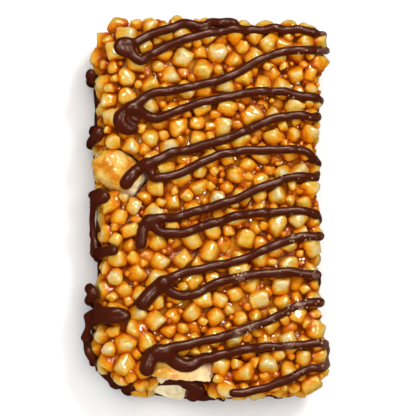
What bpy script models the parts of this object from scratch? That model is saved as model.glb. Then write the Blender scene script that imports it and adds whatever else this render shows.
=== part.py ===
"""Energy bar: puffed crisps set in syrup on a chocolate base, with nut pieces among the
crisps and one strand of chocolate run in a zigzag over the top.

X is across the bar, Y along it, and Z = 0 is the surface that it rests on."""

import math

import bmesh
import bpy
import numpy as np
from mathutils import Euler, Matrix, Vector, noise

MM = 0.001

# The block of crisps, and what is kept between pieces that touch
BAR_WIDTH = 54.7 * MM
BAR_LENGTH = 90.2 * MM
BAR_TOP = 17.5 * MM
BASE_THICKNESS = 1.6 * MM
GAP = 0.3 * MM
BAR_FOOT = BASE_THICKNESS + GAP
UPPER_EDGE = 4.5 * MM
LOWER_EDGE = 1.5 * MM
CORNER_RADIUS = {
    "front_left": 13 * MM,
    "front_right": 7.5 * MM,
    "back_left": 11 * MM,
    "back_right": 6 * MM,
}
SIDE_WAVE = 0.45 * MM
SIDE_WAVE_LENGTH = 6.5 * MM
WAIST = 1.1 * MM
WAIST_Y = -3 * MM
WAIST_REACH = 20 * MM
BULGE = 1.4 * MM
BULGE_Y = -33 * MM
BULGE_REACH = 8 * MM
CORE_DEPTH = 2.0 * MM
CORE_EDGE = 3.0 * MM
CORE_POINTS = 40

# The chocolate under it: how far its rim stands out, how much that varies, and its
# profile from the foot up as (inset from the rim, height)
RIM = 0.25 * MM
RIM_LUMPS = 0.6 * MM
RIM_DETAIL = (6.6, 11.0)
RIM_POINTS = 64
BASE_PROFILE = (
    (0.8 * MM, 0.0 * MM),
    (0.0 * MM, 0.6 * MM),
    (0.2 * MM, 1.2 * MM),
    (0.9 * MM, BASE_THICKNESS),
)

# Crisps, largest first. Each nearly touches its neighbours.
CRISP_SEED = 24
LARGEST_CRISP = 4.8 * MM
SMALLEST_CRISP = 4.1 * MM
CRISP_SIZES = 5
CRISP_TRIES = 16000
CRISP_SPACING = 1.04
CRISP_SINK = 0.35 * MM
CRISP_SIDES = 6
CRISP_STRETCH = (0.75, 1.1)
LOWEST_CRISP = 0.4

# Chocolate strand
STRAND_RADIUS = 1.15 * MM
TAIL_RADIUS = 1.45 * MM
DRIP_RADIUS = 1.4 * MM
STRAND_SIDES = 5
TUBE_END = 0.7
TUBE_END_RADIUS = 0.5
STRAND_LIFT = 0.6 * MM
OVER_EDGE = 26.5 * MM
SIDE_TURN = 6.0 * MM
SIDE_POINTS = 2
DRIP_POINTS = 7

# The strand's way over the top, as (x, y) in mm. It starts at the back, and each stroke
# out to the right edge is followed by the one that comes back to the left.
FIRST_STROKE = (
    (5.3, 44.3), (3.2, 45.0), (-0.5, 43.8), (-2.6, 42.4), (-6.5, 43.3), (-11.0, 41.0),
    (-16.0, 40.2), (-20.4, 38.0),
)
STROKES = (
    (
        (
            (-20.4, 38.0), (-19.5, 34.6), (-17.4, 33.3), (-14.8, 35.1), (-9.7, 37.7), (-2.2, 40.3),
            (8.4, 42.5), (16.0, 43.0), (24.6, 42.3),
        ),
        (
            (26.2, 37.4), (18.0, 36.7), (12.5, 35.2), (7.3, 32.5), (1.5, 29.2), (-4.0, 27.9),
            (-10.7, 26.1), (-15.5, 25.2), (-20.1, 21.8),
        ),
    ),
    (
        (
            (-20.1, 21.8), (-17.6, 21.2), (-14.0, 19.6), (-10.5, 20.9), (-6.5, 22.6), (1.0, 24.7),
            (9.5, 26.5), (18.0, 26.9), (25.3, 25.9),
        ),
        (
            (26.0, 21.4), (20.2, 21.3), (14.0, 20.1), (8.0, 17.6), (2.0, 15.0), (-5.0, 12.7),
            (-11.8, 10.9), (-16.6, 8.3),
        ),
    ),
    (
        (
            (-16.6, 8.3), (-15.0, 5.9), (-12.3, 5.5), (-9.0, 6.3), (-5.4, 8.1), (0.9, 11.2),
            (7.3, 12.4), (15.0, 12.8), (21.5, 12.8), (25.0, 11.0),
        ),
        (
            (25.6, 7.5), (20.1, 6.7), (14.0, 4.9), (7.3, 2.0), (0.0, -0.8), (-6.5, -2.7),
            (-12.0, -3.9), (-15.6, -4.8),
        ),
    ),
    (
        (
            (-15.6, -4.8), (-13.2, -6.8), (-10.0, -7.6), (-7.0, -7.3), (-3.0, -5.7), (3.0, -3.6),
            (11.6, -2.1), (20.1, -1.3), (25.3, -2.0),
        ),
        (
            (25.5, -7.2), (19.5, -7.8), (13.7, -9.9), (9.4, -11.9), (3.0, -14.0), (-2.2, -15.7),
            (-7.0, -16.6), (-12.0, -19.1),
        ),
    ),
    (
        (
            (-12.0, -19.1), (-10.0, -21.6), (-7.5, -22.3), (-4.3, -21.4), (-1.0, -19.5),
            (5.1, -17.9), (12.0, -16.6), (18.0, -16.0), (25.4, -16.6),
        ),
        (
            (25.6, -23.0), (21.0, -23.6), (15.5, -25.9), (9.4, -28.8), (3.0, -31.1), (-3.0, -32.5),
            (-8.5, -34.1), (-12.8, -35.0),
        ),
    ),
    (
        (
            (-12.8, -35.0), (-9.5, -36.7), (-6.4, -38.0), (-3.3, -37.5), (0.0, -36.0),
            (5.1, -34.7), (11.5, -33.6), (19.9, -33.1), (27.2, -32.7),
        ),
        (
            (27.2, -38.0), (23.5, -38.4), (20.0, -40.0), (15.5, -42.4), (10.4, -44.4),
            (7.2, -45.3), (4.7, -45.1),
        ),
    ),
)

# What the strand leaves at each turn at the left, as (x, y) in mm
TAILS = (
    ((-20.4, 38.0), (-23.6, 38.0), (-24.4, 35.8), (-22.4, 34.5)),
    ((-20.1, 21.8), (-22.2, 19.9), (-21.8, 17.8), (-19.6, 17.2)),
    ((-16.6, 8.3), (-18.6, 6.3), (-20.6, 4.2)),
    ((-15.6, -4.8), (-16.9, -6.8), (-17.4, -10.0)),
    ((-12.0, -19.1), (-14.3, -21.4), (-16.6, -23.8)),
    ((-12.8, -35.0), (-15.4, -36.9), (-15.9, -39.5)),
)

# Loops of chocolate that hang down the left side, in mm: the y of the middle, half the
# width, and how far across the bar from its middle line the loop's top reaches.
DRIPS = (
    (30.4, 1.5, 30.0),
    (16.2, 1.6, 27.5),
    (1.5, 1.5, 26.0),
    (-3.6, 1.8, 31.0),
    (-11.0, 1.8, 22.5),
    (-21.7, 1.7, 28.5),
    (-26.9, 1.9, 20.0),
    (-33.8, 3.4, 31.0),
)
DRIP_FOOT = 41.5 * MM
DRIP_SHAPE = 0.6

# Nut pieces: centre, half sizes and turn, all in the bar's axes, and the broken face
NUTS = {
    "nut_side": {
        "centre": Vector((-21.2, 6.9, 12.4)) * MM,
        "half_size": Vector((7.3, 4.6, 4.3)) * MM,
        "turn": (0, 14, -36),
        "broken_face": (Vector((5.6, 0, 0)) * MM, Vector((1, 0, 0.35))),
    },
    "nut_end_upper": {
        "centre": Vector((-7.0, -39.5, 12.4)) * MM,
        "half_size": Vector((7.4, 3.9, 3.7)) * MM,
        "turn": (0, 0, -6),
        "broken_face": (Vector((0, -1.6, 0)) * MM, Vector((0.05, -1, -0.3))),
    },
    "nut_end_lower": {
        "centre": Vector((-8.9, -42.4, 7.7)) * MM,
        "half_size": Vector((5.0, 2.6, 3.2)) * MM,
        "turn": (8, 24, -14),
        "broken_face": (Vector((0, -0.4, 1.5)) * MM, Vector((0.1, -0.5, 1))),
    },
}
NUT_CLEARANCE = 0.5 * MM

# How finely the block's slope is measured, and how often a point is moved along it
SLOPE_STEP = 0.05 * MM
ONTO_BAR_STEPS = 6
OUTLINE_STEP = 0.001 * MM


def side_reach(x, y):
    """Half the bar's width at y, on the side that x is on."""
    wave = SIDE_WAVE * np.sin(y / SIDE_WAVE_LENGTH + np.where(x < 0, 0.6, 2.4))
    waist = WAIST * np.exp(-(((y - WAIST_Y) / WAIST_REACH) ** 2))
    bulge = BULGE * np.exp(-(((y - BULGE_Y) / BULGE_REACH) ** 2))
    return BAR_WIDTH / 2 + wave - waist + np.where(x > 0, bulge, 0)


def end_reach(x, y):
    """Half the bar's length at x, at the end that y is on."""
    return BAR_LENGTH / 2 + SIDE_WAVE * np.sin(x / SIDE_WAVE_LENGTH + np.where(y < 0, 1.2, 2.0))


def plan_distance(x, y):
    """Distance from the bar's outline seen from above, negative inside it."""
    front = np.where(x < 0, CORNER_RADIUS["front_left"], CORNER_RADIUS["front_right"])
    back = np.where(x < 0, CORNER_RADIUS["back_left"], CORNER_RADIUS["back_right"])
    radius = np.where(y < 0, front, back)
    across = np.abs(x) - side_reach(x, y) + radius
    along = np.abs(y) - end_reach(x, y) + radius
    outside = np.hypot(np.maximum(across, 0), np.maximum(along, 0))
    return outside + np.minimum(np.maximum(across, along), 0) - radius


def bar_distance(points):
    """Distance from the outside of the block of crisps, negative inside it."""
    x, y, z = np.asarray(points, float).T
    middle = (BAR_TOP + BAR_FOOT) / 2
    edge = np.where(z > middle, UPPER_EDGE, LOWER_EDGE)
    across = plan_distance(x, y) + edge
    up = np.abs(z - middle) - (BAR_TOP - BAR_FOOT) / 2 + edge
    outside = np.hypot(np.maximum(across, 0), np.maximum(up, 0))
    return outside + np.minimum(np.maximum(across, up), 0) - edge


def outward(points):
    """The direction out of the block of crisps at each point."""
    slopes = [bar_distance(points + d) - bar_distance(points - d) for d in np.eye(3) * SLOPE_STEP]
    slopes = np.array(slopes).T
    return slopes / np.linalg.norm(slopes, axis=1, keepdims=True)


def onto_bar(points, lift):
    """The points moved along the slope until they are lift outside the block."""
    points = np.array(points, float)
    for _ in range(ONTO_BAR_STEPS):
        points -= (bar_distance(points) - lift)[:, None] * outward(points)
    return points


def nut_frame(nut):
    turn = Euler([math.radians(angle) for angle in nut["turn"]])
    return Matrix.LocRotScale(nut["centre"], turn, None)


def in_a_nut(point, margin):
    """Whether a crisp with this centre would cross a nut piece."""
    for nut in NUTS.values():
        local = nut_frame(nut).inverted() @ Vector(point)
        reach = [local[axis] / (nut["half_size"][axis] + margin) for axis in range(3)]
        if Vector(reach).length < 1:
            return True
    return False


def crisp_places():
    """Centres and sizes of the crisps that show, in a shell under the block's outside."""
    draw = np.random.default_rng(CRISP_SEED)
    reach = np.array([BAR_WIDTH / 2 + BULGE, BAR_LENGTH / 2 + SIDE_WAVE, 0])
    low, high = -reach + [0, 0, BAR_FOOT], reach + [0, 0, BAR_TOP]
    centres, sizes = np.empty((0, 3)), np.empty(0)
    for size in np.linspace(LARGEST_CRISP, SMALLEST_CRISP, CRISP_SIZES):
        tries = draw.uniform(low, high, (CRISP_TRIES, 3))
        sink = -bar_distance(tries) - 0.5 * size
        above_base = tries[:, 2] > BAR_FOOT + LOWEST_CRISP * size
        for centre in tries[(np.abs(sink) < CRISP_SINK) & above_base]:
            away = np.linalg.norm(centres - centre, axis=1)
            if (away < CRISP_SPACING * (sizes + size) / 2).any() or in_a_nut(centre, size / 2):
                continue
            centres, sizes = np.vstack([centres, centre]), np.append(sizes, size)
    turns = draw.uniform(0, 2 * math.pi, (len(sizes), 3))
    stretches = draw.uniform(*CRISP_STRETCH, len(sizes))
    return centres, sizes, turns, stretches


def object_from(name, bm):
    bmesh.ops.recalc_face_normals(bm, faces=bm.faces)
    mesh = bpy.data.meshes.new(name)
    bm.to_mesh(mesh)
    bm.free()
    obj = bpy.data.objects.new(name, mesh)
    bpy.context.scene.collection.objects.link(obj)
    return obj


def material(name, colour, roughness):
    made = bpy.data.materials.new(name)
    made.use_nodes = True
    shader = made.node_tree.nodes["Principled BSDF"]
    shader.inputs["Base Color"].default_value = (*colour, 1)
    shader.inputs["Roughness"].default_value = roughness
    shader.inputs["Metallic"].default_value = 0
    made.diffuse_color = (*colour, 1)
    return made


def loft(bm, rings):
    """Faces between rings of points, closed by a cap at each end."""
    loops = [[bm.verts.new(point) for point in ring] for ring in rings]
    for lower, upper in zip(loops, loops[1:]):
        for i in range(len(lower)):
            j = (i + 1) % len(lower)
            bm.faces.new((lower[i], lower[j], upper[j], upper[i]))
    bm.faces.new(loops[0][::-1])
    bm.faces.new(loops[-1])


def outline_ring(offset, z, count):
    """Points on the bar's outline moved out by offset, all at one height."""
    ring = []
    for turn in np.linspace(0, 2 * math.pi, count, endpoint=False):
        direction = np.array([BAR_WIDTH * math.cos(turn), BAR_LENGTH * math.sin(turn)])
        direction /= np.linalg.norm(direction)
        near, far = 0.0, BAR_LENGTH
        while far - near > OUTLINE_STEP:
            middle = (near + far) / 2
            inside = plan_distance(*(direction * middle)) < offset(turn)
            near, far = (middle, far) if inside else (near, middle)
        ring.append(Vector((*(direction * near), z)))
    return ring


def core():
    """The block under the crisps that show."""
    bm = bmesh.new()
    top = BAR_TOP - CORE_DEPTH
    rings = [outline_ring(lambda _: -CORE_DEPTH, BAR_FOOT, CORE_POINTS)]
    for angle in (0, math.pi / 4, math.pi / 2):
        inset = CORE_DEPTH + CORE_EDGE * (1 - math.cos(angle))
        height = top - CORE_EDGE * (1 - math.sin(angle))
        rings.append(outline_ring(lambda _, inset=inset: -inset, height, CORE_POINTS))
    loft(bm, rings)
    return object_from("crisp_block", bm)


def crisp(centre, size, turn, stretch):
    """One short piece of puffed tube with few sides."""
    bm = bmesh.new()
    rings = []
    angles = [2 * math.pi * side / CRISP_SIDES for side in range(CRISP_SIDES)]
    for along in (-1, 1):
        rings.append([Vector((math.cos(a), math.sin(a), along)) for a in angles])
    place = Matrix.LocRotScale(
        Vector(centre), Euler(turn), Vector((size / 2, size / 2, stretch * size / 2))
    )
    loft(bm, [[place @ point for point in ring] for ring in rings])
    return object_from("crisp", bm)


def in_metres(path):
    return [np.array(point) * MM for point in path]


def side_turn(start, end):
    """The bend between two strokes, which hangs down the right side."""
    middle, half = (start[1] + end[1]) / 2, (start[1] - end[1]) / 2
    path = []
    for angle in np.linspace(0, math.pi, SIDE_POINTS + 2)[1:-1]:
        path.append(np.array((OVER_EDGE + SIDE_TURN * math.sin(angle), middle + half * math.cos(angle))))
    return path


def drip(middle, half, top):
    """A loop up the left side and down again, as a path across the bar's surface."""
    path = []
    for angle in np.linspace(0, math.pi, DRIP_POINTS):
        across = -DRIP_FOOT + (DRIP_FOOT - top) * math.sin(angle) ** DRIP_SHAPE
        path.append(np.array((across, middle + half * math.cos(angle))))
    return path


def over_surface(path, lift):
    """A path of (distance across the surface, y) as points just outside the block."""
    points = []
    for across, y in path:
        sign = -1 if across < 0 else 1
        flat = float(side_reach(sign, y)) - UPPER_EDGE
        angle = min(max(abs(across) - flat, 0) / UPPER_EDGE, math.pi / 2)
        down = max(abs(across) - flat - UPPER_EDGE * math.pi / 2, 0)
        x = min(abs(across), flat) + UPPER_EDGE * math.sin(angle)
        z = BAR_TOP - UPPER_EDGE * (1 - math.cos(angle)) - down
        points.append((sign * x, y, z))
    return onto_bar(points, lift)


def tube(name, points, radius):
    """A strand with round ends along the points."""
    points = [Vector(point) for point in points]
    ahead = (points[-1] - points[-2]).normalized() * radius * TUBE_END
    behind = (points[0] - points[1]).normalized() * radius * TUBE_END
    points = [points[0] + behind, *points, points[-1] + ahead]
    bm = bmesh.new()
    rings = []
    for i, point in enumerate(points):
        along = (points[min(i + 1, len(points) - 1)] - points[max(i - 1, 0)]).normalized()
        out = Vector(outward(np.array([point]))[0])
        across = along.cross(out).normalized()
        out = across.cross(along)
        reach = radius * (TUBE_END_RADIUS if i in (0, len(points) - 1) else 1)
        angles = [2 * math.pi * side / STRAND_SIDES for side in range(STRAND_SIDES)]
        rings.append([point + reach * (across * math.cos(a) + out * math.sin(a)) for a in angles])
    loft(bm, rings)
    return object_from(name, bm)


def chocolate_strands():
    first = over_surface(in_metres(FIRST_STROKE), STRAND_LIFT)
    strands = [tube("strand", first, STRAND_RADIUS)]
    for out, back in STROKES:
        path = [*in_metres(out), *side_turn(*in_metres((out[-1], back[0]))), *in_metres(back)]
        strands.append(tube("strand", over_surface(path, STRAND_LIFT), STRAND_RADIUS))
    for path in TAILS:
        strands.append(tube("tail", over_surface(in_metres(path), STRAND_LIFT), TAIL_RADIUS))
    for middle, half, top in DRIPS:
        path = drip(middle * MM, half * MM, top * MM)
        strands.append(tube("drip", over_surface(path, STRAND_LIFT), DRIP_RADIUS))
    return strands


def nut_shape(name, nut, margin=0.0):
    """A rounded kernel with a broken face, larger all round by margin."""
    bm = bmesh.new()
    bmesh.ops.create_icosphere(bm, subdivisions=2, radius=1)
    bmesh.ops.scale(bm, vec=nut["half_size"], verts=bm.verts)
    point, normal = nut["broken_face"]
    cut = bmesh.ops.bisect_plane(
        bm, geom=[*bm.verts, *bm.edges, *bm.faces], plane_co=point, plane_no=normal, clear_outer=True
    )
    rim = [item for item in cut["geom_cut"] if isinstance(item, bmesh.types.BMEdge)]
    bmesh.ops.edgeloop_fill(bm, edges=rim)
    if margin:
        bm.normal_update()
        moves = {vert: vert.normal * margin for vert in bm.verts}
        for vert, move in moves.items():
            vert.co += move
    bmesh.ops.transform(bm, matrix=nut_frame(nut), verts=bm.verts)
    return object_from(name, bm)


def under_box():
    """Cuts the foot of the block flat."""
    bm = bmesh.new()
    size = Vector((2 * BAR_WIDTH, 2 * BAR_LENGTH, 2 * BAR_FOOT))
    bmesh.ops.create_cube(bm, size=1, matrix=Matrix.LocRotScale(Vector((0, 0, 0)), None, size))
    return object_from("under_box", bm)


def combine(target, others, operation, solver):
    """Applies one Boolean of a collection to the target and removes the collection's objects."""
    group = bpy.data.collections.new(operation)
    for obj in others:
        group.objects.link(obj)
    boolean = target.modifiers.new(operation, "BOOLEAN")
    boolean.operation = operation
    boolean.operand_type = "COLLECTION"
    boolean.collection = group
    boolean.solver = solver
    with bpy.context.temp_override(object=target):
        bpy.ops.object.modifier_apply(modifier=boolean.name)
    for obj in others:
        bpy.data.objects.remove(obj)
    bpy.data.collections.remove(group)


def keep_outer_body(obj):
    """Leaves the largest body: fills hollows that the fusing sealed and drops loose scraps."""
    bm = bmesh.new()
    bm.from_mesh(obj.data)
    bmesh.ops.triangulate(bm, faces=bm.faces)
    unseen, bodies = set(bm.faces), []
    while unseen:
        body, edge_of_body = set(), [unseen.pop()]
        while edge_of_body:
            face = edge_of_body.pop()
            body.add(face)
            near = {other for edge in face.edges for other in edge.link_faces} & unseen
            unseen -= near
            edge_of_body.extend(near)
        bodies.append(body)
    largest = max(bodies, key=lambda body: sum(face.calc_area() for face in body))
    rest = [face for body in bodies if body is not largest for face in body]
    bmesh.ops.delete(bm, geom=rest, context="FACES")
    bm.to_mesh(obj.data)
    bm.free()


def crisp_block():
    """The crisps and the chocolate strand fused to the core, with room for the nut pieces."""
    block = core()
    crisps = [crisp(*place) for place in zip(*crisp_places())]
    combine(block, crisps + chocolate_strands(), "UNION", "MANIFOLD")
    cutters = [nut_shape("room", nut, NUT_CLEARANCE) for nut in NUTS.values()]
    combine(block, [*cutters, under_box()], "DIFFERENCE", "MANIFOLD")
    keep_outer_body(block)
    block.data.materials.append(material("crisps", (0.62, 0.33, 0.06), 0.4))
    return block


def chocolate_base():
    """The thin layer of chocolate under the bar, with a lumpy rim."""

    def rim(inset):
        def offset(turn):
            place = Vector((RIM_DETAIL[0] * math.cos(turn), RIM_DETAIL[1] * math.sin(turn), 0))
            return RIM + RIM_LUMPS * noise.noise(place) - inset

        return offset

    bm = bmesh.new()
    loft(bm, [outline_ring(rim(inset), height, RIM_POINTS) for inset, height in BASE_PROFILE])
    base = object_from("chocolate_base", bm)
    base.data.materials.append(material("chocolate", (0.08, 0.013, 0.005), 0.35))
    return base


def nut_pieces():
    nut_material = material("nut", (0.82, 0.5, 0.16), 0.4)
    for name, nut in NUTS.items():
        piece = nut_shape(name, nut)
        piece.data.materials.append(nut_material)


def main():
    for obj in list(bpy.data.objects):
        bpy.data.objects.remove(obj)
    crisp_block()
    chocolate_base()
    nut_pieces()


main()
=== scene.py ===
"""Energy bar, the looks: puffed crisps under syrup, a zigzag strand of chocolate, nut pieces
and a chocolate layer underneath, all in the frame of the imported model, in metres."""

import functools
import math

import bpy
import numpy as np
from mathutils import Euler, Matrix, Vector, noise


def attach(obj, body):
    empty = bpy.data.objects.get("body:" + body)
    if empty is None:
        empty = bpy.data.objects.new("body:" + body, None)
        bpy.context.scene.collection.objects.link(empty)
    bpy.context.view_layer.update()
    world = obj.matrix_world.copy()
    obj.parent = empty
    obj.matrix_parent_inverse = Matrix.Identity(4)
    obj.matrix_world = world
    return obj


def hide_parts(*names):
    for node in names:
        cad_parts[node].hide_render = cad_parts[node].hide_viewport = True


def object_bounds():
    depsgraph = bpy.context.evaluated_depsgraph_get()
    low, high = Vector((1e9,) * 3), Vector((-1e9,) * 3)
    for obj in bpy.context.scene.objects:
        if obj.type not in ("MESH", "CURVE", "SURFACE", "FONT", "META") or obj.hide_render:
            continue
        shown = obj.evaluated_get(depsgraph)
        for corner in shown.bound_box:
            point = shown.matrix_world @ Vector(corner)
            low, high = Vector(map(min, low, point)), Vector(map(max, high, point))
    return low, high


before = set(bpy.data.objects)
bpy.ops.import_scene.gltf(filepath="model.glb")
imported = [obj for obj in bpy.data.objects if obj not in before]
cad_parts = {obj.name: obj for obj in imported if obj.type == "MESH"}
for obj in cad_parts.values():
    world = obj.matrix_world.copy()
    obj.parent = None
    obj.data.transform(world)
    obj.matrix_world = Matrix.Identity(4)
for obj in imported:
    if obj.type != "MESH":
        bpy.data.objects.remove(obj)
CAD_LOW, CAD_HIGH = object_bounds()

MM = 0.001

# The block of crisps, as the solids have it
BAR_WIDTH = 54.7 * MM
BAR_LENGTH = 90.2 * MM
BAR_TOP = 17.5 * MM
BASE_THICKNESS = 1.6 * MM
GAP = 0.3 * MM
BAR_FOOT = BASE_THICKNESS + GAP
UPPER_EDGE = 4.5 * MM
LOWER_EDGE = 1.5 * MM
CORNER_RADIUS = {
    "front_left": 13 * MM,
    "front_right": 7.5 * MM,
    "back_left": 11 * MM,
    "back_right": 6 * MM,
}
SIDE_WAVE = 0.45 * MM
SIDE_WAVE_LENGTH = 6.5 * MM
WAIST = 1.1 * MM
WAIST_Y = -3 * MM
WAIST_REACH = 20 * MM
BULGE = 1.4 * MM
BULGE_Y = -33 * MM
BULGE_REACH = 8 * MM
SLOPE_STEP = 0.05 * MM
ONTO_BAR_STEPS = 6

# Crisps that the solids have too
CRISP_SEED = 24
LARGEST_CRISP = 4.8 * MM
SMALLEST_CRISP = 4.1 * MM
CRISP_SIZES = 5
CRISP_TRIES = 16000
CRISP_SPACING = 1.04
CRISP_SINK = 0.35 * MM
CRISP_STRETCH = (0.75, 1.1)
LOWEST_CRISP = 0.4

# Crisps added between and under them: sizes, how far their tops lie under the block's
# outside, and how close they come to each other
FILL_SEED = 5
FILLS = {
    "between": {"sizes": (4.5, 4.2, 3.9, 3.6, 3.2), "depth": (0.0, 1.6), "spacing": 0.84, "tries": 26000},
    "small": {"sizes": (3.1, 2.8, 2.5, 2.2), "depth": (0.1, 1.5), "spacing": 0.8, "tries": 12000},
    "under": {"sizes": (4.6, 4.2, 3.8), "depth": (1.9, 3.0), "spacing": 0.8, "tries": 20000},
    "balls": {"sizes": (2.6, 2.2, 1.8, 1.5), "depth": (0.4, 2.6), "spacing": 0.8, "tries": 5000},
}

# Crisps placed one by one at the corners, at the front left and beside a nut, as
# (x, y, z, size) in mm
CORNER_CRISPS = (
    (22.9, 42.6, 13.0, 4.4),
    (25.6, 39.4, 13.0, 4.7),
    (26.2, 35.2, 12.5, 4.4),
    (19.4, 43.4, 12.0, 4.0),
    (-25.2, 38.8, 11.5, 4.6),
    (-26.2, 34.6, 10.5, 4.6),
    (-22.2, 42.4, 12.0, 4.2),
    (-16.5, -43.0, 8.5, 4.4),
    (-14.0, -41.9, 9.5, 4.2),
    (-15.6, 1.3, 14.2, 3.8),
    (-13.4, 4.4, 14.6, 3.6),
)

# Chocolate strand, as the solids have it
STRAND_RADIUS = 1.15 * MM
STRAND_LIFT = 0.6 * MM
OVER_EDGE = 26.5 * MM
SIDE_TURN = 6.0 * MM

# The strand's way over the top, as (x, y) in mm. It starts at the back, and each stroke
# out to the right edge is followed by the one that comes back to the left.
FIRST_STROKE = (
    (5.3, 44.3), (3.2, 45.0), (-0.5, 43.8), (-2.6, 42.4), (-6.5, 43.3), (-11.0, 41.0),
    (-15.8, 39.6), (-18.8, 37.7), (-20.4, 37.2),
)
STROKES = (
    (
        (-20.4, 37.2), (-19.5, 34.6), (-17.4, 33.3), (-14.8, 35.1), (-9.7, 37.7), (-2.2, 40.3),
        (8.4, 42.5), (16.0, 43.0), (24.6, 42.3),
    ),
    (
        (26.2, 37.4), (18.0, 36.7), (12.5, 35.2), (7.3, 32.5), (1.5, 29.2), (-4.0, 27.9),
        (-10.7, 26.1), (-15.5, 25.2), (-20.1, 21.8),
    ),
    (
        (-20.1, 21.8), (-17.6, 21.2), (-14.0, 19.6), (-10.5, 20.9), (-6.5, 22.6), (1.0, 24.7),
        (9.5, 26.5), (18.0, 26.9), (25.3, 25.9),
    ),
    (
        (26.0, 21.4), (20.2, 21.3), (14.0, 20.1), (8.0, 17.6), (2.0, 15.0), (-5.0, 12.7),
        (-11.8, 10.9), (-16.6, 8.3),
    ),
    (
        (-16.6, 8.3), (-15.0, 5.9), (-12.3, 5.5), (-9.0, 6.3), (-5.4, 8.1), (0.9, 11.2),
        (7.3, 12.4), (15.0, 12.8), (21.5, 12.8), (25.0, 11.0),
    ),
    (
        (25.6, 7.5), (20.1, 6.7), (14.0, 4.9), (7.3, 2.0), (0.0, -0.8), (-6.5, -2.7), (-12.0, -3.9),
        (-15.6, -4.8),
    ),
    (
        (-15.6, -4.8), (-13.2, -6.8), (-10.0, -7.6), (-7.0, -7.3), (-3.0, -5.7), (3.0, -3.6),
        (11.6, -2.1), (20.1, -1.3), (25.3, -2.0),
    ),
    (
        (25.5, -7.2), (19.5, -7.8), (13.7, -9.9), (9.4, -11.9), (3.0, -14.0), (-2.2, -15.7),
        (-7.0, -16.6), (-12.0, -19.1),
    ),
    (
        (-12.0, -19.1), (-10.0, -21.6), (-7.5, -22.3), (-4.3, -21.4), (-1.0, -19.5), (5.1, -17.9),
        (12.0, -16.6), (18.0, -16.0), (25.4, -16.6),
    ),
    (
        (25.6, -23.0), (21.0, -23.6), (15.5, -25.9), (9.4, -28.8), (3.0, -31.1), (-3.0, -32.5),
        (-8.5, -34.1), (-12.8, -35.0),
    ),
    (
        (-12.8, -35.0), (-9.5, -36.7), (-6.4, -38.0), (-3.3, -37.5), (0.0, -36.0), (5.1, -34.7),
        (11.5, -33.6), (19.9, -33.1), (27.2, -32.7),
    ),
    (
        (27.2, -38.0), (23.5, -38.4), (20.0, -40.0), (15.5, -42.4), (10.4, -44.4), (7.2, -45.3),
        (4.7, -45.1),
    ),
)

# What the strand leaves at each turn at the left, as (x, y) in mm
TAILS = (
    (
        (-20.4, 37.0), (-21.4, 37.7), (-22.5, 37.5), (-23.0, 36.5), (-22.5, 35.5), (-21.2, 35.1),
        (-20.2, 35.4),
    ),
    ((-20.1, 21.8), (-21.9, 20.1), (-21.9, 18.3), (-20.4, 17.1), (-18.9, 17.2)),
    ((-16.6, 8.3), (-18.6, 6.3), (-20.6, 4.2)),
    ((-15.6, -4.8), (-16.9, -6.8), (-17.4, -10.0)),
    ((-12.0, -19.1), (-14.3, -21.4), (-16.6, -23.8)),
    ((-12.8, -35.0), (-15.2, -36.9), (-15.6, -39.4)),
    ((-13.6, -35.4), (-10.5, -36.8), (-6.6, -38.3), (-3.3, -37.8), (0.0, -36.2)),
)

# Loops of chocolate that hang down the left side, in mm: the y of the middle, half the
# width, how far across the bar from its middle line the loop's top reaches, its radius
# there, and its lift.
DRIPS = (
    (30.6, 0.5, 29.5, 1.15, 1.2),
    (16.2, 1.6, 27.5, 1.5, 0.8),
    (1.5, 1.5, 26.0, 1.5, 0.8),
    (-11.9, 0.5, 23.3, 1.05, 0.8),
    (-21.2, 1.6, 28.5, 1.5, 1.3),
    (-26.9, 1.1, 20.8, 1.4, 0.8),
    (-35.0, 2.6, 33.0, 1.0, 0.8),
)
DRIP_FOOT = 41.5 * MM
DRIP_SHAPE = 0.6

# Globs of chocolate in the loops and on the front: the lift of each, then (x, y, z, radius),
# all in mm
GLOBS = (
    (0.4, ((-22.2, 36.8, 17.3, 0.7), (-21.9, 36.3, 17.3, 0.7))),
    (0.4, ((-19.5, 19.5, 17.3, 0.85), (-18.2, 19.1, 17.3, 0.75))),
    (0.0, ((-18.0, -41.0, 13.0, 1.0), (-18.6, -42.6, 8.0, 1.6), (-18.0, -43.2, 3.5, 1.6))),
    (-0.5, ((-24.0, -38.0, 9.0, 1.2), (-22.0, -40.0, 5.0, 1.3))),
    (1.3, (
        (-27.2, 1.0, 13.5, 0.9), (-27.6, -0.8, 12.0, 0.75), (-28.5, -3.5, 10.0, 0.7),
        (-28.5, -7.0, 9.0, 0.75),
    )),
    (1.1, ((-28.5, -7.0, 9.0, 0.75), (-28.2, -9.8, 9.0, 1.0))),
    (1.4, ((-28.5, -26.5, 10.0, 1.0), (-29.5, -29.0, 9.0, 0.8), (-28.8, -31.5, 8.0, 0.8))),
    (0.6, ((-28.8, -30.8, 8.0, 0.8), (-28.0, -33.5, 7.5, 0.85), (-26.8, -36.5, 7.0, 0.9))),
    (0.8, ((-27.5, -24.4, 14.0, 1.0), (-26.5, -25.6, 15.0, 1.3), (-24.5, -25.9, 16.0, 1.0))),
    (0.9, ((-28.2, -9.8, 9.0, 1.1), (-28.2, -11.3, 8.5, 1.6))),
    (0.0, ((-5.5, -42.5, 9.8, 1.2), (-2.0, -43.0, 8.8, 1.7), (-3.0, -43.5, 5.0, 1.9))),
    # a thin line of chocolate between the two front nut pieces: partly real chocolate, partly painted shade
    # standing in for the shade in that gap
    (-0.3, ((-13.0, -42.0, 11.0, 0.7), (-8.0, -42.6, 10.8, 0.8), (-4.0, -42.8, 10.0, 0.9))),
    (-0.4, ((14.0, -43.0, 10.5, 1.2), (18.0, -42.5, 9.5, 1.2))),
)

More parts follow.
